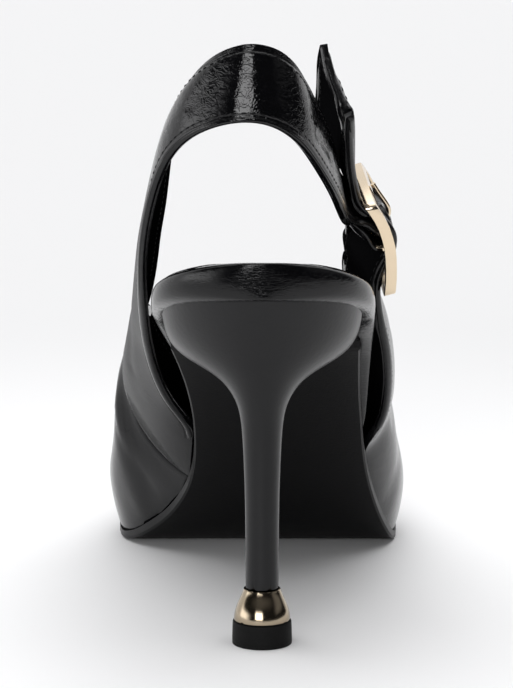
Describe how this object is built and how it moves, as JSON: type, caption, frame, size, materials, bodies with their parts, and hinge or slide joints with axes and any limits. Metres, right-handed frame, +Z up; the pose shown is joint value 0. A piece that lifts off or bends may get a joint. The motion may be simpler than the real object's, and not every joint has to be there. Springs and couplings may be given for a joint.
{
  "type": "slingback pump",
  "caption": "Pointed closed-toe slingback pump with a slim high heel, an open back and a buckled ankle strap, standing on its sole.",
  "frame": {"origin": "centre of the top lift's lower face, where the heel stands on the floor", "axes": "+Y from the heel to the toe, +X to the outer side of the right foot, +Z up"},
  "size_m": [0.0826, 0.2351, 0.1538],
  "materials": {
    "black_leather": "semi-gloss with a fine creased grain",
    "black_lining": "satin with a fine grain",
    "black_sole": "matte black edge and tread",
    "black_heel": "satin black lacquer",
    "black_rubber": "matte",
    "pale_gold": "polished pale gold plating"
  },
  "bodies": {
    "root": {"vamp": "black_leather", "sling_strap": "black_leather", "insole": "black_lining", "outsole": "black_sole", "heel": "black_heel", "heel_collar": "pale_gold", "top_lift": "black_rubber", "buckle_frame": "pale_gold", "buckle_prong": "pale_gold"}
  },
  "joints": []
}
